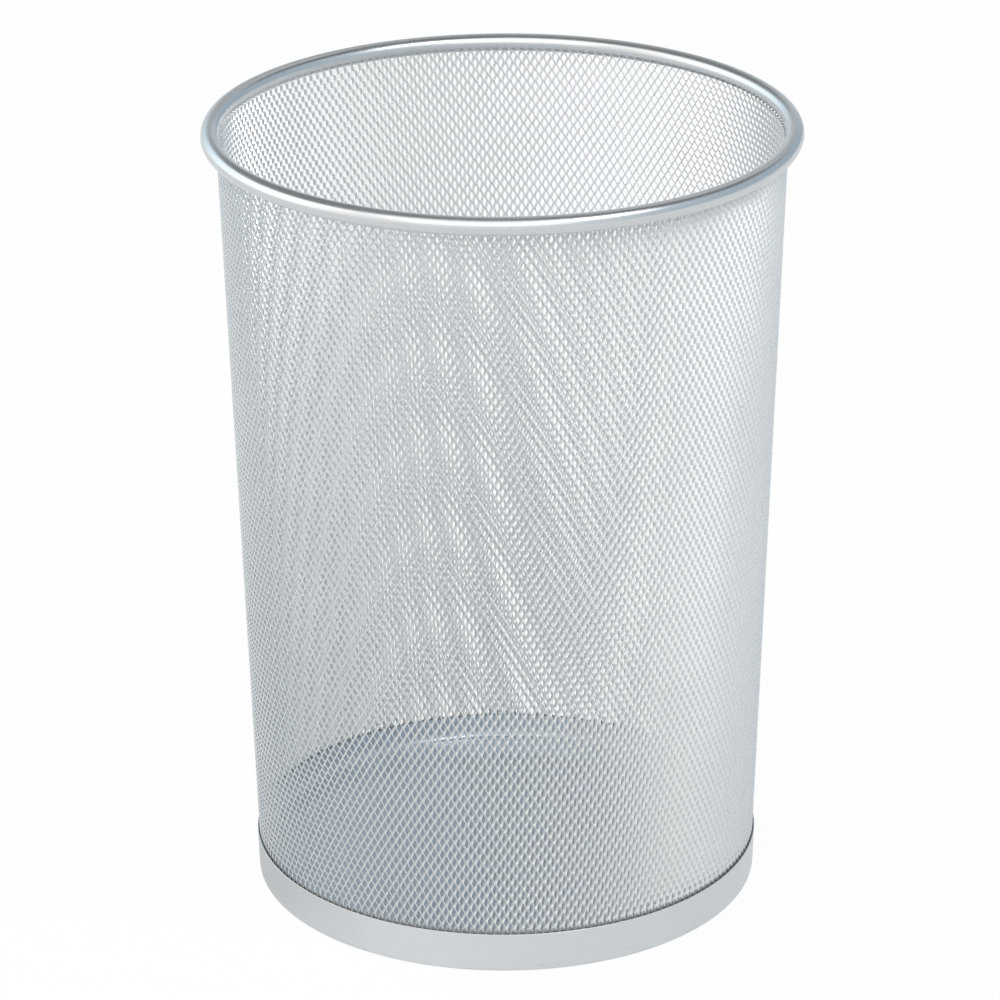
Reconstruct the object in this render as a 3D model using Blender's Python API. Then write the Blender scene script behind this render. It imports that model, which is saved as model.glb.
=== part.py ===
"""Round tapered wastebasket of expanded steel mesh.

Metres, +Z up. The basket stands on z = 0 with its axis on Z. Every piece is turned or patterned
on the same many-sided cone, so that the sheets nest facet to facet with an even gap.
"""
import bmesh
import bpy
from math import acos, cos, hypot, pi, radians, sin, sqrt

# Whole basket
TOTAL_HEIGHT = 0.381
RIM_DIAMETER = 0.280            # over the rolled bead
FOOT_DIAMETER = 0.2429          # over the base band, carried down to the ground
FIT_GAP = 0.0003                # between a sheet and its neighbour

# Mesh wall. The real sheet has openings of about 4 by 6.4 mm. Here the same openings, with the
# same share of open area, are made larger, so that they can be counted in hundreds
COLUMNS = 28                    # openings round one row
ROWS = 16                       # rows of openings, each half an opening above the last
PANELS = 14                     # upright panels that hold the sheet, each almost flat
STRAND_WIDTH = 0.0088
MESH_SHEET = 0.0005
UNCUT_EDGE_HIDDEN = 0.0008      # the uncut edge ends this far inside the bead or behind the band

# Rolled rim bead
BEAD_DIAMETER = 0.0086
BEAD_SHEET = 0.0005
SLOT_ANGLE = radians(45)        # the slot lies this far below the bead's innermost point
BEAD_STEPS = 3                  # chords in a quarter turn of the tube's outer face
BEAD_BORE_STEPS = 1.6           # and of its inner face, which nothing shows

# Base band, outside the mesh
BAND_HEIGHT = 0.0200
BAND_SHEET = 0.0005
BAND_BEND_RADIUS = 0.0020       # outer radius of the bend at the foot
FOOT_RING_WIDTH = 0.0080        # how far the foot is turned inwards

# Floor pan, inside the mesh
FLOOR_HEIGHT = 0.0080           # upper face of the floor above the ground
PAN_SHEET = 0.0005
PAN_BEND_RADIUS = 0.0035        # inner radius of the bend between floor and flange
BEND_STEPS = 2                  # chords in a bend

# Worked out from the sizes above
SIDES = 2 * COLUMNS             # facets of the cone, two to each column of openings
BEAD_RADIUS = BEAD_DIAMETER / 2
BEAD_BORE = BEAD_RADIUS - BEAD_SHEET
BEAD_HEIGHT = TOTAL_HEIGHT - BEAD_RADIUS
BEAD_CENTRE = RIM_DIAMETER / 2 - BEAD_RADIUS
SLOT_INWARD = BEAD_RADIUS * cos(SLOT_ANGLE)
SLOT_HEIGHT = BEAD_HEIGHT - BEAD_RADIUS * sin(SLOT_ANGLE)
WALL_FOOT_RADIUS = FOOT_DIAMETER / 2 - BAND_SHEET - FIT_GAP
WALL_SLOT_RADIUS = BEAD_CENTRE - SLOT_INWARD + MESH_SHEET / 2
TAPER = (WALL_SLOT_RADIUS - WALL_FOOT_RADIUS) / SLOT_HEIGHT
SHEET_TOP = BEAD_HEIGHT
SHEET_FOOT = BAND_BEND_RADIUS + FIT_GAP
OPEN_TOP = SLOT_HEIGHT + UNCUT_EDGE_HIDDEN
OPEN_FOOT = BAND_HEIGHT - UNCUT_EDGE_HIDDEN


def wall_radius(height):
    """Radius of the mesh's outer face, at a corner of the many-sided cone."""
    return WALL_FOOT_RADIUS + TAPER * height


def on_facet(side, radius, height):
    """Point on the many-sided cone; side counts facets, and its fraction runs along a facet."""
    whole = int(side // 1)
    share = side - whole
    start, end = 2 * pi * whole / SIDES, 2 * pi * (whole + 1) / SIDES
    x = radius * ((1 - share) * cos(start) + share * cos(end))
    y = radius * ((1 - share) * sin(start) + share * sin(end))
    return x, y, height


def arc(centre_r, centre_z, radius, stops, quarter_steps):
    """Points of an arc in the (radius, height) plane, by way of every angle in stops."""
    angles = [stops[0]]
    for start, end in zip(stops, stops[1:]):
        steps = round(abs(end - start) / (pi / 2) * quarter_steps)
        angles += [start + (end - start) * i / steps for i in range(1, steps + 1)]
    return [(centre_r + radius * cos(a), centre_z + radius * sin(a)) for a in angles]


def painted(name, colour, roughness, metallic):
    """Plain silver-painted steel for one piece."""
    material = bpy.data.materials.new(name)
    material.use_nodes = True
    shader = material.node_tree.nodes["Principled BSDF"]
    shader.inputs["Base Color"].default_value = (*colour, 1.0)
    shader.inputs["Roughness"].default_value = roughness
    shader.inputs["Metallic"].default_value = metallic
    return material


def add_piece(name, shape, material, parent, sharp_angle):
    """Turn a bmesh into a named object, shaded smooth except along its sharp edges."""
    bmesh.ops.recalc_face_normals(shape, faces=shape.faces)
    mesh = bpy.data.meshes.new(name)
    shape.to_mesh(mesh)
    shape.free()
    mesh.shade_smooth()
    mesh.set_sharp_from_angle(angle=sharp_angle)
    mesh.materials.append(material)
    piece = bpy.data.objects.new(name, mesh)
    piece.parent = parent
    bpy.context.collection.objects.link(piece)
    return piece


def turned(outline):
    """Turn a closed outline of (radius, height) points round Z; points at radius 0 join up."""
    shape = bmesh.new()
    loops = []
    for radius, height in outline:
        if radius == 0:
            loops.append([shape.verts.new((0, 0, height))] * SIDES)
        else:
            loops.append([shape.verts.new(on_facet(i, radius, height)) for i in range(SIDES)])
    for j, loop in enumerate(loops):
        after = loops[(j + 1) % len(loops)]
        for i in range(SIDES):
            k = (i + 1) % SIDES
            corners = [loop[i], loop[k], after[k], after[i]]
            face = [v for n, v in enumerate(corners) if v not in corners[:n]]
            if len(face) > 2:
                shape.faces.new(face)
    return shape


def rim_bead_outline():
    """Section of the rolled tube, a C whose slot lets the mesh in from below."""
    outer_lip = SLOT_INWARD - MESH_SHEET / 2 - FIT_GAP
    inner_lip = SLOT_INWARD + MESH_SHEET / 2 + FIT_GAP
    start = pi + acos(outer_lip / BEAD_RADIUS)
    end = 3 * pi + acos(inner_lip / BEAD_BORE)
    outermost, top = 2 * pi, 2.5 * pi
    way_round = [start, outermost, top, end]
    outer = arc(BEAD_CENTRE, BEAD_HEIGHT, BEAD_RADIUS, way_round, BEAD_STEPS)
    inner = arc(BEAD_CENTRE, BEAD_HEIGHT, BEAD_BORE, [end, start], BEAD_BORE_STEPS)
    return outer + inner


def base_band_outline():
    """Section of the band: an upright skirt, a bend and a flat ring turned inwards."""
    def face(height):
        return wall_radius(height) + FIT_GAP

    bend_centre = face(BAND_BEND_RADIUS) + BAND_SHEET - BAND_BEND_RADIUS
    inner_radius = BAND_BEND_RADIUS - BAND_SHEET
    ring_edge = FOOT_DIAMETER / 2 - FOOT_RING_WIDTH
    outer = arc(bend_centre, BAND_BEND_RADIUS, BAND_BEND_RADIUS, [0, -pi / 2], BEND_STEPS)
    inner = arc(bend_centre, BAND_BEND_RADIUS, inner_radius, [-pi / 2, 0], BEND_STEPS)
    top = [(face(BAND_HEIGHT), BAND_HEIGHT), (face(BAND_HEIGHT) + BAND_SHEET, BAND_HEIGHT)]
    return top + outer + [(ring_edge, 0), (ring_edge, BAND_SHEET)] + inner


def floor_pan_outline():
    """Section of the pan from its axis out: floor, bend and upright flange."""
    def face(height):
        return wall_radius(height) - MESH_SHEET - FIT_GAP

    outer_radius = PAN_BEND_RADIUS + PAN_SHEET
    bend_height = FLOOR_HEIGHT + PAN_BEND_RADIUS
    bend_centre = face(bend_height) - outer_radius
    under = arc(bend_centre, bend_height, outer_radius, [-pi / 2, 0], BEND_STEPS)
    over = arc(bend_centre, bend_height, PAN_BEND_RADIUS, [0, -pi / 2], BEND_STEPS)
    top = [(face(BAND_HEIGHT), BAND_HEIGHT), (face(BAND_HEIGHT) - PAN_SHEET, BAND_HEIGHT)]
    return [(0, FLOOR_HEIGHT - PAN_SHEET)] + under + top + over + [(0, FLOOR_HEIGHT)]


def level_height(level):
    """Height of a level of the mesh. Openings of even area are lower where the wall is wider."""
    foot, top = wall_radius(OPEN_FOOT), wall_radius(OPEN_TOP)
    share = level / ROWS
    radius = sqrt(foot**2 + (top**2 - foot**2) * share)
    return OPEN_FOOT + (OPEN_TOP - OPEN_FOOT) * share * (foot + top) / (foot + radius)


def opening(side, level):
    """Left, bottom, right and top corner of an opening, inset by half a strand all round."""
    middle = level_height(level)
    below, above = level_height(level - 1), level_height(level + 1)
    half_width = wall_radius(middle) * 2 * sin(pi / SIDES)
    half_height = (above - below) / 2
    slant = hypot(half_width, half_height)
    across = STRAND_WIDTH / 2 * slant / half_height / half_width
    along = STRAND_WIDTH / 2 * slant / half_width
    left, right = (side - 1 + across, middle), (side + 1 - across, middle)
    return left, (side, below + along), right, (side, above - along)


class MeshPanel:
    """One panel of expanded mesh, built face by face on the facets of the cone.

    A place in the sheet is (side, height). Openings are centred where side plus level is even,
    and strands cross where it is odd. At its first and last side the panel ends in half
    openings and half crossings, drawn back to leave a gap to the next panel.
    """

    def __init__(self, first, last):
        self.shape = bmesh.new()
        self.points = {}
        self.first, self.last = first, last

    def point(self, side, height, depth):
        """Vertex on the outer face, at depth 0, or on the inner face, at depth MESH_SHEET."""
        key = round(side, 6), round(height, 9), depth
        if key not in self.points:
            facet_width = wall_radius(height) * 2 * sin(pi / SIDES)
            setback = FIT_GAP / 2 / facet_width
            inside = min(max(side, self.first + setback), self.last - setback)
            spot = on_facet(inside, wall_radius(height) - depth, height)
            self.points[key] = self.shape.verts.new(spot)
        return self.points[key]

    def skin(self, *places):
        """The same polygon on both faces of the sheet."""
        for depth in (0, MESH_SHEET):
            self.shape.faces.new([self.point(side, z, depth) for side, z in places])

    def cut(self, *places):
        """The cut edge of the sheet along a run of places."""
        for first, last in zip(places, places[1:]):
            outer = [self.point(*first, 0), self.point(*last, 0)]
            inner = [self.point(*last, MESH_SHEET), self.point(*first, MESH_SHEET)]
            self.shape.faces.new(outer + inner)

    def edge_of_opening(self, side, left, bottom, right, top):
        """Cut edge round an opening, of which an end of the panel keeps only one half."""
        if side > self.first:
            self.cut(top, left, bottom)
        if side < self.last:
            self.cut(bottom, right, top)

    def crossing(self, side, level):
        """Where four openings meet, two triangles folded along the corner of the cone."""
        below, above = opening(side, level - 1)[3], opening(side, level + 1)[1]
        if side > self.first:
            self.skin(opening(side - 1, level)[2], below, above)
        if side < self.last:
            self.skin(below, opening(side + 1, level)[0], above)
        if side in (self.first, self.last):
            self.cut(below, above)

    def strands(self, side, level):
        """The two strands that run up from an opening's sides to its top corner."""
        left, _, right, top = opening(side, level)
        if side > self.first:
            up_left = opening(side - 1, level + 1)
            self.skin(left, up_left[1], up_left[2], top)
        if side < self.last:
            up_right = opening(side + 1, level + 1)
            self.skin(right, up_right[1], up_right[0], top)

    def half_opening(self, side, level, inward):
        """Where an opening's middle meets the uncut edge, only the half away from it is open."""
        left, bottom, right, top = opening(side, level)
        here = side, level_height(level)
        if inward > 0:
            self.edge_of_opening(side, left, here, right, top)
        else:
            self.edge_of_opening(side, left, bottom, right, here)

    def half_crossing(self, side, level, inward):
        """Where strands spring from the uncut edge, between two half openings."""
        here = side, level_height(level)
        tip = opening(side, level + inward)[1 if inward > 0 else 3]
        if side > self.first:
            self.skin(here, opening(side - 1, level)[2], tip)
        if side < self.last:
            self.skin(here, opening(side + 1, level)[0], tip)
        if side in (self.first, self.last):
            self.cut(here, tip)

    def margin(self, level, sheet_edge):
        """Uncut edge of the sheet along the first or last level."""
        height = level_height(level)
        inward = 1 if level == 0 else -1
        for side in range(self.first, self.last + 1):
            open_here = (side + level) % 2 == 0
            if open_here:
                self.half_opening(side, level, inward)
            else:
                self.half_crossing(side, level, inward)
            if side < self.last:
                corner = (opening(side, level)[2] if open_here
                          else opening(side + 1, level)[0])
                self.skin((side, sheet_edge), (side + 1, sheet_edge), (side + 1, height),
                          corner, (side, height))
                self.cut((side, sheet_edge), (side + 1, sheet_edge))
        for side in (self.first, self.last):
            self.cut((side, sheet_edge), (side, height))


def mesh_panel_shape(number):
    """Rows of staggered diamond openings between two uncut margins."""
    first = number * SIDES // PANELS
    panel = MeshPanel(first, first + SIDES // PANELS)
    for level in range(ROWS):
        for side in range(panel.first, panel.last + 1):
            if (side + level) % 2 == 0:
                panel.strands(side, level)
                if level > 0:
                    panel.edge_of_opening(side, *opening(side, level))
            elif level > 0:
                panel.crossing(side, level)
    panel.margin(0, SHEET_FOOT)
    panel.margin(ROWS, SHEET_TOP)
    return panel.shape


def build():
    """Make the four pieces under one empty that marks the basket's own frame."""
    for item in list(bpy.data.objects):
        bpy.data.objects.remove(item, do_unlink=True)
    frame = bpy.data.objects.new("wastebasket", None)
    bpy.context.collection.objects.link(frame)
    bend, fold = radians(36), radians(12)
    add_piece("rim_bead", turned(rim_bead_outline()),
              painted("polished_silver", (0.72, 0.73, 0.74), 0.18, 0.9), frame, bend)
    for number in range(PANELS):
        add_piece(f"mesh_panel_{number + 1}", mesh_panel_shape(number),
                  painted("silver_mesh", (0.66, 0.68, 0.70), 0.38, 0.6), frame, fold)
    add_piece("base_band", turned(base_band_outline()),
              painted("silver_band", (0.68, 0.70, 0.71), 0.42, 0.5), frame, bend)
    add_piece("floor_pan", turned(floor_pan_outline()),
              painted("silver_floor", (0.60, 0.62, 0.64), 0.45, 0.5), frame, bend)


build()
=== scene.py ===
"""Looks of the round mesh wastebasket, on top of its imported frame.

Metres, +Z up, axis on Z, -Y towards the camera. The mesh wall, the rim tube, the foot band and
the floor dish are made here at full detail, in the places of the plain solids they stand for.
"""

from math import acos, cos, pi, radians, sin, tan

import bpy
import numpy as np
from mathutils import Matrix, Vector


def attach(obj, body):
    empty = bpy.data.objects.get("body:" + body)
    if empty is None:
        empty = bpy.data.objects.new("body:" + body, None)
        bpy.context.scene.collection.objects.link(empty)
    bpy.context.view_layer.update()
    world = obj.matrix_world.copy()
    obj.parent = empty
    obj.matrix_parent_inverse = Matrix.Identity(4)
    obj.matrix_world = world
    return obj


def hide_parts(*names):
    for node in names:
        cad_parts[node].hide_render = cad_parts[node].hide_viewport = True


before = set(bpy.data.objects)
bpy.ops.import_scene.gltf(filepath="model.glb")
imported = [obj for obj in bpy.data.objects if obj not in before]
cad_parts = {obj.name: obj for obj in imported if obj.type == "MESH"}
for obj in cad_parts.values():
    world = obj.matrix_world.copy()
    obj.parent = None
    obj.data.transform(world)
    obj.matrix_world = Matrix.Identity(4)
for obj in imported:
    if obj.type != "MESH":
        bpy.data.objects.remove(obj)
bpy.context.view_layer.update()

# Sizes shared with the solids
TOTAL_HEIGHT = 0.381
RIM_RADIUS = 0.13998
TUBE_RADIUS = 0.0043
TUBE_HEIGHT = TOTAL_HEIGHT - TUBE_RADIUS
TUBE_CENTRE = RIM_RADIUS - TUBE_RADIUS
SLOT_INWARD = TUBE_RADIUS * cos(radians(45))
WALL_FOOT_RADIUS = 0.12065
TAPER = 0.03281
FIT_GAP = 0.0003
SHEET = 0.0005
OPEN_FOOT = 0.0192
OPEN_TOP = 0.37445
BAND_HEIGHT = 0.0200
FOOT_RING_EDGE = 0.11345
FLOOR_HEIGHT = 0.0080

# The expanded sheet at its real pitch
COLUMNS = 198
ROWS = 110
ROW_GROWTH = 1.27               # how much taller rows are where the wall is narrower
SECTORS = 6
STRAND = 0.00146                # width of the strip that one cut leaves
STRAND_TILT = radians(45)       # expanding the sheet turns every strand the same way
STRAND_THICK = 0.0004
BOND = 0.0007                   # height of the uncut metal where two strands join
LEAN = radians(1.5)             # the columns lean to the right, the rows hardly
ROW_LEAN = radians(0.1)
SHEET_START = -99               # half columns from the front centre to the lap, at -X
SHEET_END = SHEET_START + 2 * COLUMNS
LAP_SIDES = 5                   # half columns that the lap doubles
LAP_DEPTH = 0.0014
SPARE_ROWS = 8                  # rows beyond the openings, cut off by the lean
SHEET_FOOT = 0.0165
SHEET_TOP = 0.3756
TURNS_OUT = 0.0190, 0.0235      # heights between which the strands turn out of the flat sheet
TURNS_BACK = 0.3750, 0.3756     # and between which they turn back, inside the tube
MAP_HALF = 0.49                 # width of the map's half that each face of the sheet takes
MAP_OUTER, MAP_INNER = 0.002, 0.502
MAP_STRAND = 0.4                # a strand's width in the map, in half columns

# Forms of the turned pieces
TURN_STEPS = 396
LIP_DROP = 0.0006               # from the tube's middle down to the end of its turned-up lip
BAND_BEND = 0.0020
BAND_EASE = 0.00012             # on the band's bare edges
DISH_BEND = 0.0050
NEAR_AXIS = 0.0004              # radius at which the floor ends, in place of a point
SHARP_ANGLE = radians(40)


def wall_radius(height):
    """Outer radius of the mesh."""
    return WALL_FOOT_RADIUS + TAPER * height


def level_height(level):
    """Height of a level of openings. Openings are lower where the wall is wider."""
    power = 1 + ROW_GROWTH
    foot, top = wall_radius(OPEN_FOOT)**power, wall_radius(OPEN_TOP)**power
    share = np.asarray(level, dtype=float) / ROWS
    return ((foot + (top - foot) * share)**(1 / power) - WALL_FOOT_RADIUS) / TAPER


def new_piece(name, vertices, faces, material, smooth_angle=None, uv=None):
    """Mesh object from arrays, riding on the one body."""
    mesh = bpy.data.meshes.new(name)
    mesh.from_pydata(np.asarray(vertices).tolist(), [], [list(f) for f in faces])
    if uv is not None:
        layer = mesh.uv_layers.new(name="OFBake")
        corner = np.empty(len(mesh.loops), dtype=np.int32)
        mesh.loops.foreach_get("vertex_index", corner)
        layer.data.foreach_set("uv", np.asarray(uv, dtype=np.float32)[corner].ravel())
    if smooth_angle is not None:
        mesh.shade_smooth()
        mesh.set_sharp_from_angle(angle=smooth_angle)
    mesh.materials.append(material)
    piece = bpy.data.objects.new(name, mesh)
    bpy.context.collection.objects.link(piece)
    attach(piece, "root")
    return piece


def smoothstep(low, high, value):
    share = np.clip((value - low) / (high - low), 0, 1)
    return share * share * (3 - 2 * share)


# Places on a crossing, which is two strands wide, and the two faces of the sheet
LEFT, MIDDLE, RIGHT = range(3)
LOW, HIGH = range(2)
OUTER, INNER = range(2)


def mesh_sector(first, last):
    """The sheet's half columns from first to last, counted from the front centre.

    The sheet is made of crossings and of the strands that leave each half of a crossing. All of
    them hold the direction across the strand, so they are turned about an upright line by the
    same tilt. Crossings lie where half column plus level is odd.
    """
    levels = np.arange(-SPARE_ROWS, ROWS + SPARE_ROWS + 1)
    sides = np.arange(first, last + 1)
    side, level, across, end, skin = np.meshgrid(sides, levels, (-1, 0, 1), (-1, 1), (1, -1),
                                                 indexing="ij")
    height = level_height(level) + end * BOND / 2

    # the sheet leans: rows run down to the right and columns lean over to the right
    cell = wall_radius(height) * pi / COLUMNS
    leaned_height = np.clip(height - tan(ROW_LEAN) * side * cell, SHEET_FOOT, SHEET_TOP)
    raised = smoothstep(*TURNS_OUT, leaned_height)
    raised = raised * (1 - smoothstep(*TURNS_BACK, leaned_height))
    half = STRAND_THICK / 2
    along_wall = across * STRAND * cos(STRAND_TILT) - skin * half * sin(STRAND_TILT) * raised
    outwards = across * STRAND * sin(STRAND_TILT) * raised
    outwards = outwards + skin * half * (1 - raised + raised * cos(STRAND_TILT))
    depth = half + raised * (STRAND * sin(STRAND_TILT) + half * (cos(STRAND_TILT) - 1))
    leaned_side = side + (along_wall + tan(LEAN) * (height - TOTAL_HEIGHT / 2)) / cell
    lap = smoothstep(SHEET_END - 1, SHEET_END + 1, leaned_side)
    radius = wall_radius(leaned_height) - depth + outwards - LAP_DEPTH * lap
    angle = -pi / 2 + leaned_side * pi / COLUMNS
    points = np.stack([radius * np.cos(angle), radius * np.sin(angle), leaned_height], axis=-1)
    across_map = (side + MAP_STRAND * across - first + 1) / (last - first + 2) * MAP_HALF
    maps = np.stack([across_map + np.where(skin > 0, MAP_OUTER, MAP_INNER),
                     leaned_height / TOTAL_HEIGHT], axis=-1)
    count = points.shape[:5]
    index = np.arange(np.prod(count)).reshape(count)

    exists = (side[..., 0, 0, 0] + level[..., 0, 0, 0]) % 2 != 0
    exists &= leaned_height[:, :, MIDDLE, HIGH, OUTER] > SHEET_FOOT
    exists &= leaned_height[:, :, MIDDLE, LOW, OUTER] < SHEET_TOP
    faces = []

    def plate(chosen, corners, bare):
        """Both skins of a plate, and its cut edges from the corner to the next one."""
        def at(corner, face):
            place, *where = corners[corner % 4]
            return index[(*place, *where, face)][chosen]

        faces.append(np.stack([at(n, OUTER) for n in range(4)], axis=-1))
        faces.append(np.stack([at(n, INNER) for n in (3, 2, 1, 0)], axis=-1))
        for n in bare:
            faces.append(np.stack([at(n + 1, OUTER), at(n, OUTER), at(n, INNER),
                                   at(n + 1, INNER)], axis=-1))

    here = slice(None), slice(None)
    body = exists.copy()
    if first > SHEET_START:
        body[0] = False
    plate(body, [(here, LEFT, LOW), (here, MIDDLE, LOW), (here, MIDDLE, HIGH),
                 (here, LEFT, HIGH)], (3,))
    plate(body, [(here, MIDDLE, LOW), (here, RIGHT, LOW), (here, RIGHT, HIGH),
                 (here, MIDDLE, HIGH)], (1,))
    low, up = slice(None, -1), slice(1, None)
    plate(exists[low, low] & exists[up, up],
          [((low, low), RIGHT, HIGH), ((up, up), MIDDLE, LOW), ((up, up), LEFT, LOW),
           ((low, low), MIDDLE, HIGH)], (0, 2))
    plate(exists[up, low] & exists[low, up],
          [((up, low), LEFT, HIGH), ((up, low), MIDDLE, HIGH), ((low, up), RIGHT, LOW),
           ((low, up), MIDDLE, LOW)], (1, 3))

    faces = np.concatenate(faces)
    used, packed = np.unique(faces, return_inverse=True)
    return points.reshape(-1, 3)[used], packed.reshape(-1, 4), maps.reshape(-1, 2)[used]


def turned(outline):
    """Turn a closed outline of (radius, height) points round Z."""
    outline = np.asarray(outline)
    count = len(outline)
    angles = -pi / 2 + 2 * pi * np.arange(TURN_STEPS) / TURN_STEPS
    radius, height = outline[:, 0], outline[:, 1]
    points = np.stack([np.outer(np.cos(angles), radius), np.outer(np.sin(angles), radius),
                       np.broadcast_to(height, (TURN_STEPS, count))], axis=-1)
    faces = []
    for i in range(TURN_STEPS):
        k = (i + 1) % TURN_STEPS
        for j in range(count):
            n = (j + 1) % count
            faces.append((i * count + j, k * count + j, k * count + n, i * count + n))
    return points.reshape(-1, 3), faces


def arc(centre_r, centre_z, radius, start, end, steps):
    """Points of (radius, height) along an arc, both ends included."""
    angles = np.linspace(start, end, steps + 1)
    return [(centre_r + radius * cos(a), centre_z + radius * sin(a)) for a in angles]


def tube_outline():
    """The rolled tube, a C whose slot takes the mesh and whose outer lip turns up beside it."""
    outer_lip = SLOT_INWARD - SHEET / 2 - FIT_GAP
    inner_lip = SLOT_INWARD + SHEET / 2 + FIT_GAP
    bore = TUBE_RADIUS - SHEET
    start = pi + acos(outer_lip / TUBE_RADIUS)
    end = 3 * pi + acos(inner_lip / bore)
    lip_end = pi + acos((outer_lip - SHEET) / bore)
    lip_top = TUBE_HEIGHT - LIP_DROP
    outer = arc(TUBE_CENTRE, TUBE_HEIGHT, TUBE_RADIUS, start, end, steps=40)
    inner = arc(TUBE_CENTRE, TUBE_HEIGHT, bore, end, lip_end, steps=20)
    turned_up = [(TUBE_CENTRE - outer_lip + SHEET, lip_top), (TUBE_CENTRE - outer_lip, lip_top)]
    return outer + inner + turned_up


def band_outline():
    """Skirt, bend and foot ring of the band, with its bare edges eased."""
    def face(height):
        return wall_radius(height) + FIT_GAP

    centre = face(BAND_BEND) + SHEET - BAND_BEND
    inside, ease = face(BAND_HEIGHT), BAND_EASE
    top = [(inside, BAND_HEIGHT - ease), (inside + ease, BAND_HEIGHT),
           (inside + SHEET - ease, BAND_HEIGHT), (inside + SHEET, BAND_HEIGHT - ease)]
    outer = arc(centre, BAND_BEND, BAND_BEND, 0, -pi / 2, steps=8)
    ring = [(FOOT_RING_EDGE + ease, 0), (FOOT_RING_EDGE, ease),
            (FOOT_RING_EDGE, SHEET - ease), (FOOT_RING_EDGE + ease, SHEET)]
    inner = arc(centre, BAND_BEND, BAND_BEND - SHEET, -pi / 2, 0, steps=6)
    return (top + outer + ring + inner)[::-1]


def dish_outline():
    """Floor, rounded corner and upturned flange of the pan, from the axis out and back."""
    def face(height):
        return wall_radius(height) - SHEET - FIT_GAP

    corner = FLOOR_HEIGHT + DISH_BEND
    centre = face(corner) - DISH_BEND - SHEET
    under = [(NEAR_AXIS, FLOOR_HEIGHT - SHEET)]
    under += arc(centre, corner, DISH_BEND + SHEET, -pi / 2, 0, steps=10)
    top = [(face(BAND_HEIGHT), BAND_HEIGHT), (face(BAND_HEIGHT) - SHEET, BAND_HEIGHT)]
    over = arc(centre, corner, DISH_BEND, 0, -pi / 2, steps=10)
    return under + top + over + [(NEAR_AXIS, FLOOR_HEIGHT)]


def link(tree, source, target):
    tree.links.new(source, target)


def noise(tree, scale, detail=2.0, stretch=(1, 1, 1)):
    """Noise over the object's own coordinates, in cycles per metre."""
    where = tree.nodes.new("ShaderNodeTexCoord")
    mapping = tree.nodes.new("ShaderNodeMapping")
    mapping.inputs["Scale"].default_value = stretch
    texture = tree.nodes.new("ShaderNodeTexNoise")
    texture.inputs["Scale"].default_value = scale
    texture.inputs["Detail"].default_value = detail
    link(tree, where.outputs["Object"], mapping.inputs["Vector"])
    link(tree, mapping.outputs["Vector"], texture.inputs["Vector"])
    return texture.outputs["Fac"]


def ranged(tree, value, low, high, new_low, new_high):
    """Map a value's range to a new one, clamped."""
    mapped = tree.nodes.new("ShaderNodeMapRange")
    for socket, number in (("From Min", low), ("From Max", high),
                           ("To Min", new_low), ("To Max", new_high)):
        mapped.inputs[socket].default_value = number
    link(tree, value, mapped.inputs["Value"])
    return mapped.outputs["Result"]


def mixed(tree, share, first, second):
    """Mix of two colours."""
    mix = tree.nodes.new("ShaderNodeMix")
    mix.data_type = "RGBA"
    if isinstance(share, float):
        mix.inputs["Factor"].default_value = share
    else:
        link(tree, share, mix.inputs["Factor"])
    for socket, value in (("A", first), ("B", second)):
        slot = next(s for s in mix.inputs if s.name == socket and s.type == "RGBA")
        if isinstance(value, tuple):
            slot.default_value = (*value, 1.0)
        else:
            link(tree, value, slot)
    return next(s for s in mix.outputs if s.type == "RGBA")


# Silver paint. A noise is (cycles per metre, detail), and a range is the part of it that counts.
CLOUDS, CLOUD_RANGE = (9.0, 3.0), (0.35, 0.65)
FLAKE, FLAKE_RANGE = (1600.0, 1.0), (0.42, 0.58)
FLAKE_DARK, FLAKE_LIGHT = 0.93, 1.05    # times the colour
FLAKE_SHARE = 0.35
SCRATCHES, SCRATCH_RANGE = (60.0, 6.0), (0.56, 0.68)
SCRATCH_STRETCH = (1, 1, 12)
SCRATCH_SHARE = 0.5
SCRATCH_SHADE = 0.72                    # times the dull colour
SCRATCH_HEIGHT = 0.006                  # above the ground, where the scratches have faded out
SEAM_SHADE_LOW, SEAM_SHADE_HIGH = 0.0006, 0.0020  # above the band, where the painted shade of the gap between mesh and band fades out
SEAM_SHADE_TONE = 0.2                       # times the dull colour, for the painted shade of that gap
SHEEN, SHEEN_RANGE = (35.0, 4.0), (0.3, 0.7)
SMOOTHER, ROUGHER = 0.04, 0.05          # how far the roughness varies each way
COAT_ROUGHNESS = 0.12
GRAIN = (900.0, 2.0)
GRAIN_DEPTH = 0.0001


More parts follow.
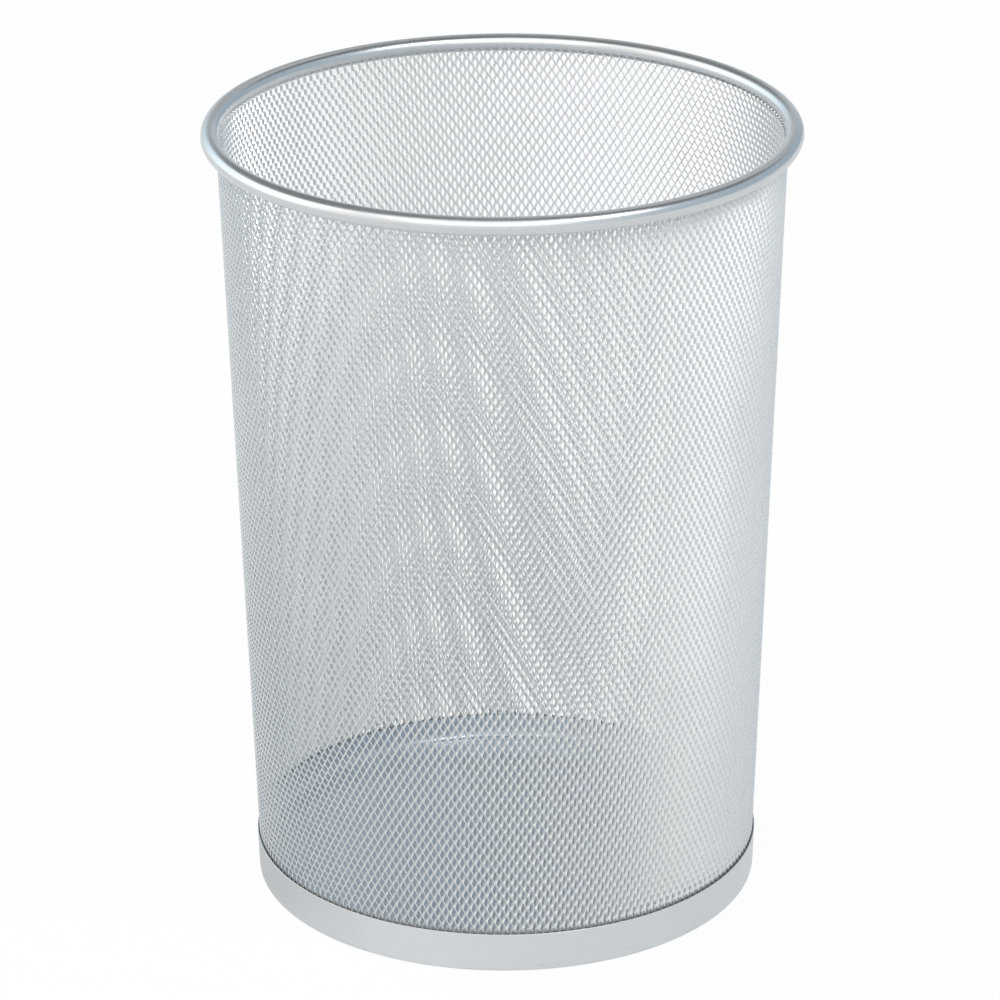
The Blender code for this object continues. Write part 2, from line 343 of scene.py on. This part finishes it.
def silver_paint(name, colour, dull_colour, metallic, roughness, coat, grain, seam_shade=0.0):
    """Silver lacquer: metal flake under a thin clear film, scuffed a little at the foot, and with
    painted shade where the mesh goes down behind the band, standing in for the shadow in the gap
    there."""
    material = bpy.data.materials.new(name)
    material.use_nodes = True
    tree = material.node_tree
    shader = tree.nodes["Principled BSDF"]
    clouds = ranged(tree, noise(tree, *CLOUDS), *CLOUD_RANGE, 0.0, 1.0)
    painted = mixed(tree, clouds, colour, dull_colour)
    flake = ranged(tree, noise(tree, *FLAKE), *FLAKE_RANGE, 0.0, 1.0)
    sparkle = mixed(tree, flake, tuple(FLAKE_DARK * c for c in colour),
                    tuple(min(1.0, FLAKE_LIGHT * c) for c in colour))
    coloured = mixed(tree, FLAKE_SHARE, painted, sparkle)
    where = tree.nodes.new("ShaderNodeTexCoord")
    split = tree.nodes.new("ShaderNodeSeparateXYZ")
    link(tree, where.outputs["Object"], split.inputs[0])
    near_ground = ranged(tree, split.outputs["Z"], 0.0, SCRATCH_HEIGHT, 1.0, 0.0)
    scratch = ranged(tree, noise(tree, *SCRATCHES, SCRATCH_STRETCH), *SCRATCH_RANGE, 0.0,
                     SCRATCH_SHARE)
    wear = tree.nodes.new("ShaderNodeMath")
    wear.operation = "MULTIPLY"
    link(tree, near_ground, wear.inputs[0])
    link(tree, scratch, wear.inputs[1])
    worn_and_shaded = mixed(tree, wear.outputs[0], coloured, tuple(SCRATCH_SHADE * c for c in dull_colour))
    # painted shade: the mesh is darker just above the band, standing in for the shadow in the gap
    # between them
    if seam_shade:
        seam_shade_mask = ranged(tree, split.outputs["Z"], BAND_HEIGHT + SEAM_SHADE_LOW, BAND_HEIGHT + SEAM_SHADE_HIGH,
                      seam_shade, 0.0)
        worn_and_shaded = mixed(tree, seam_shade_mask, worn_and_shaded, tuple(SEAM_SHADE_TONE * c for c in dull_colour))
    link(tree, worn_and_shaded, shader.inputs["Base Color"])
    shader.inputs["Metallic"].default_value = metallic
    rough = ranged(tree, noise(tree, *SHEEN), *SHEEN_RANGE, roughness - SMOOTHER,
                   roughness + ROUGHER)
    link(tree, rough, shader.inputs["Roughness"])
    shader.inputs["Coat Weight"].default_value = coat
    shader.inputs["Coat Roughness"].default_value = COAT_ROUGHNESS
    bump = tree.nodes.new("ShaderNodeBump")
    bump.inputs["Strength"].default_value = grain
    bump.inputs["Distance"].default_value = GRAIN_DEPTH
    link(tree, noise(tree, *GRAIN), bump.inputs["Height"])
    link(tree, bump.outputs["Normal"], shader.inputs["Normal"])
    return material


# the mesh's paint carries the painted shade just above the band
MESH_PAINT = silver_paint("mesh_paint", (0.81, 0.825, 0.835), (0.77, 0.785, 0.795),
                          metallic=0.45, roughness=0.30, coat=0.15, grain=0.3, seam_shade=0.8)
TUBE_PAINT = silver_paint("tube_paint", (0.71, 0.735, 0.75), (0.67, 0.695, 0.715),
                          metallic=0.78, roughness=0.24, coat=0.20, grain=0.08)
BAND_PAINT = silver_paint("band_paint", (0.74, 0.765, 0.785), (0.70, 0.725, 0.745),
                          metallic=0.75, roughness=0.33, coat=0.15, grain=0.15)
FLOOR_PAINT = silver_paint("floor_paint", (0.63, 0.70, 0.77), (0.59, 0.66, 0.73),
                           metallic=0.55, roughness=0.18, coat=0.30, grain=0.08)

panels = sorted(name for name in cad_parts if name.startswith("mesh_panel_"))
edges = np.linspace(SHEET_START, SHEET_END + LAP_SIDES, SECTORS + 1).round().astype(int)
for number, (first, last) in enumerate(zip(edges[:-1], edges[1:]), start=1):
    points, faces, uv = mesh_sector(int(first), int(last))
    sector = new_piece(f"mesh_{number}", points, faces, MESH_PAINT, uv=uv)
    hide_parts(*panels)

for name, outline, paint, node, slot in (
        ("rim_tube", tube_outline(), TUBE_PAINT, "rim_bead", "bead"),
        ("foot_band", band_outline(), BAND_PAINT, "base_band", "band"),
        ("floor_dish", dish_outline(), FLOOR_PAINT, "floor_pan", "floor")):
    points, faces = turned(outline)
    piece = new_piece(name, points, faces, paint, smooth_angle=SHARP_ANGLE)
    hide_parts(node)


# Studio. A place in the world is an (azimuth, elevation) in degrees: azimuth 0 is the camera's
# side, positive to its right. An area of the world is a place, the angles round it within which
# it is full and beyond which it is nothing, and its level, which is 1 where none is given.
FRONT_AREA = ((-45, 12), 40, 130)
FRONT_LEVEL, BACK_LEVEL = 0.95, 0.50
FRONT_COLOUR, BACK_COLOUR = (1.0, 0.98, 0.94), (0.66, 0.845, 1.0)
SIDE_LIGHT = ((-112, 24), 26, 54, 0.75)
LOW_BACK = ((180, 0), 15, 23, 0.7)
LOW_BACK_LEVEL = 0.18           # how much of the low back's level also makes it lighter
DARK_AREA = ((180, 66), 42, 49, 1.0)
GROUND_REACH = 5.0
GROUND_COLOUR = (0.86, 0.86, 0.86, 1)
GROUND_ROUGHNESS = 0.9
GROUND_SPECULAR = 0.2
CAMERA_SHARE = 0.95             # of the floor's white that the camera sees without its shadow
GLOSSY_SHARE = 0.9
GLOSSY_FLOOR = 0.82
SHADOW_PATCH_LEVEL = 0.55                # level of the floor's painted shadow to the left of the foot, which the band mirrors
SHADOW_PATCH_PLACE = (-0.16, -0.01, 0)
SHADOW_PATCH_REACH = 0.05, 0.13          # within the first the painted shadow is full, beyond the second there is none
WHITE = (1, 1, 1, 1)
# name, place seen from the middle of the rim, distance, size and power of each lamp
LAMPS = (("key", (-8, 50), 1.0, 1.20, 3.2),
         ("right", (48, 50), 1.0, 0.42, 2.0),
         ("back", (165, 40), 2.4, 1.4, 2.6))


def lamp(name, place, aim, size, power):
    """Soft square lamp that faces the aim."""
    light = bpy.data.lights.new(name, "AREA")
    light.shape = "SQUARE"
    light.size = size
    light.energy = power
    item = bpy.data.objects.new(name, light)
    item.location = place
    item.rotation_euler = (Vector(aim) - Vector(place)).to_track_quat("-Z", "Y").to_euler()
    bpy.context.collection.objects.link(item)


def towards(azimuth, elevation):
    """Direction of a place in the world, seen from the basket."""
    azimuth, elevation = radians(azimuth), radians(elevation)
    return Vector((sin(azimuth) * cos(elevation), -cos(azimuth) * cos(elevation),
                   sin(elevation)))


def white_floor():
    """Pale floor, which the camera sees as the white of the background, with a faint shadow.
    Metal sees it a little darker, with a painted shadow beside the left of the foot."""
    mesh = bpy.data.meshes.new("ground")
    corners = [(x * GROUND_REACH, y * GROUND_REACH, 0)
               for x, y in ((-1, -1), (1, -1), (1, 1), (-1, 1))]
    mesh.from_pydata(corners, [], [(0, 1, 2, 3)])
    material = bpy.data.materials.new("ground")
    material.use_nodes = True
    tree = material.node_tree
    shader = tree.nodes["Principled BSDF"]
    shader.inputs["Base Color"].default_value = GROUND_COLOUR
    shader.inputs["Roughness"].default_value = GROUND_ROUGHNESS
    shader.inputs["Specular IOR Level"].default_value = GROUND_SPECULAR
    # painted shadow: what metal sees of the floor gets darker towards a spot left of the foot
    where = tree.nodes.new("ShaderNodeTexCoord")
    distance = tree.nodes.new("ShaderNodeVectorMath")
    distance.operation = "DISTANCE"
    distance.inputs[1].default_value = SHADOW_PATCH_PLACE
    link(tree, where.outputs["Object"], distance.inputs[0])
    shadow_patch = ranged(tree, distance.outputs["Value"], *SHADOW_PATCH_REACH, SHADOW_PATCH_LEVEL, GLOSSY_FLOOR)
    path = tree.nodes.new("ShaderNodeLightPath")
    below = shader.outputs[0]
    for ray, share, level in (("Is Glossy Ray", GLOSSY_SHARE, shadow_patch),
                              ("Is Camera Ray", CAMERA_SHARE, 1.0)):
        glow = tree.nodes.new("ShaderNodeEmission")
        glow.inputs["Color"].default_value = WHITE
        if isinstance(level, float):
            glow.inputs["Strength"].default_value = level
        else:
            link(tree, level, glow.inputs["Strength"])
        factor = tree.nodes.new("ShaderNodeMath")
        factor.operation = "MULTIPLY"
        factor.inputs[1].default_value = share
        link(tree, path.outputs[ray], factor.inputs[0])
        mix = tree.nodes.new("ShaderNodeMixShader")
        link(tree, factor.outputs[0], mix.inputs[0])
        link(tree, below, mix.inputs[1])
        link(tree, glow.outputs[0], mix.inputs[2])
        below = mix.outputs[0]
    link(tree, below, tree.nodes["Material Output"].inputs["Surface"])
    mesh.materials.append(material)
    ground = bpy.data.objects.new("ground", mesh)
    bpy.context.collection.objects.link(ground)


def studio():
    """White to the camera. To the object, soft light from the front left with dimmer, cooler
    light from behind, less cool and dim near the ground, and a dark patch overhead that shows
    in the tube."""
    world = bpy.data.worlds.new("studio")
    bpy.context.scene.world = world
    world.use_nodes = True
    tree = world.node_tree
    where = tree.nodes.new("ShaderNodeTexCoord")

    def cap(middle, inner, outer, level=1.0):
        """An area of the world: its level within the inner angle, 0 beyond the outer one."""
        product = tree.nodes.new("ShaderNodeVectorMath")
        product.operation = "DOT_PRODUCT"
        product.inputs[1].default_value = towards(*middle)
        link(tree, where.outputs["Generated"], product.inputs[0])
        return ranged(tree, product.outputs["Value"], cos(radians(outer)), cos(radians(inner)),
                      0.0, level)

    def combined(operation, first, second):
        """Result of a sum on sockets or plain numbers."""
        node = tree.nodes.new("ShaderNodeMath")
        node.operation = operation
        for socket, value in zip(node.inputs, (first, second)):
            if isinstance(value, float):
                socket.default_value = value
            else:
                link(tree, value, socket)
        return node.outputs[0]

    front = cap(*FRONT_AREA)
    level = combined("ADD", combined("MULTIPLY", front, FRONT_LEVEL - BACK_LEVEL), BACK_LEVEL)
    level = combined("ADD", level, cap(*SIDE_LIGHT))
    low_back = cap(*LOW_BACK)
    level = combined("ADD", level, combined("MULTIPLY", low_back, LOW_BACK_LEVEL))
    path = tree.nodes.new("ShaderNodeLightPath")
    shade = combined("MULTIPLY", cap(*DARK_AREA), path.outputs["Is Glossy Ray"])
    level = combined("MULTIPLY", level, combined("SUBTRACT", 1.0, shade))
    light = tree.nodes["Background"]
    warmth = combined("ADD", front, low_back)
    link(tree, mixed(tree, warmth, BACK_COLOUR, FRONT_COLOUR), light.inputs["Color"])
    link(tree, level, light.inputs["Strength"])
    white = tree.nodes.new("ShaderNodeBackground")
    white.inputs["Color"].default_value = WHITE
    mix = tree.nodes.new("ShaderNodeMixShader")
    link(tree, path.outputs["Is Camera Ray"], mix.inputs[0])
    link(tree, light.outputs[0], mix.inputs[1])
    link(tree, white.outputs[0], mix.inputs[2])
    link(tree, mix.outputs[0], tree.nodes["World Output"].inputs["Surface"])


white_floor()
studio()
rim_middle = Vector((0, 0, TOTAL_HEIGHT))
for name, direction, distance, size, power in LAMPS:
    lamp(name, distance * towards(*direction) + rim_middle, rim_middle, size, power)

# Camera, fitted to the photograph's rim, band and outline
SENSOR = 36.0
FOCAL_PIXELS = 4807.5
FRAME_PIXELS = 1000.0
ELEVATION = radians(22.674)
ROLL = radians(-0.333)
DISTANCE = 2.3026
AIM_HEIGHT = 0.1902
SIDE_STEP = -0.00203
CLIP_END = 50

camera = bpy.data.cameras.new("camera")
camera.sensor_width = SENSOR
camera.lens = FOCAL_PIXELS / FRAME_PIXELS * SENSOR
camera.clip_end = CLIP_END
viewer = bpy.data.objects.new("camera", camera)
right = Vector((1, 0, 0))
up = Vector((0, sin(ELEVATION), cos(ELEVATION)))
ahead = Vector((0, cos(ELEVATION), -sin(ELEVATION)))
rolled_right = cos(ROLL) * right + sin(ROLL) * up
rolled_up = cos(ROLL) * up - sin(ROLL) * right
turn = Matrix((rolled_right, rolled_up, -ahead)).transposed()
place = Vector((SIDE_STEP, 0, AIM_HEIGHT)) - DISTANCE * ahead
viewer.matrix_world = Matrix.Translation(place) @ turn.to_4x4()
bpy.context.collection.objects.link(viewer)
bpy.context.scene.camera = viewer
bpy.context.scene.view_settings.view_transform = "Standard"
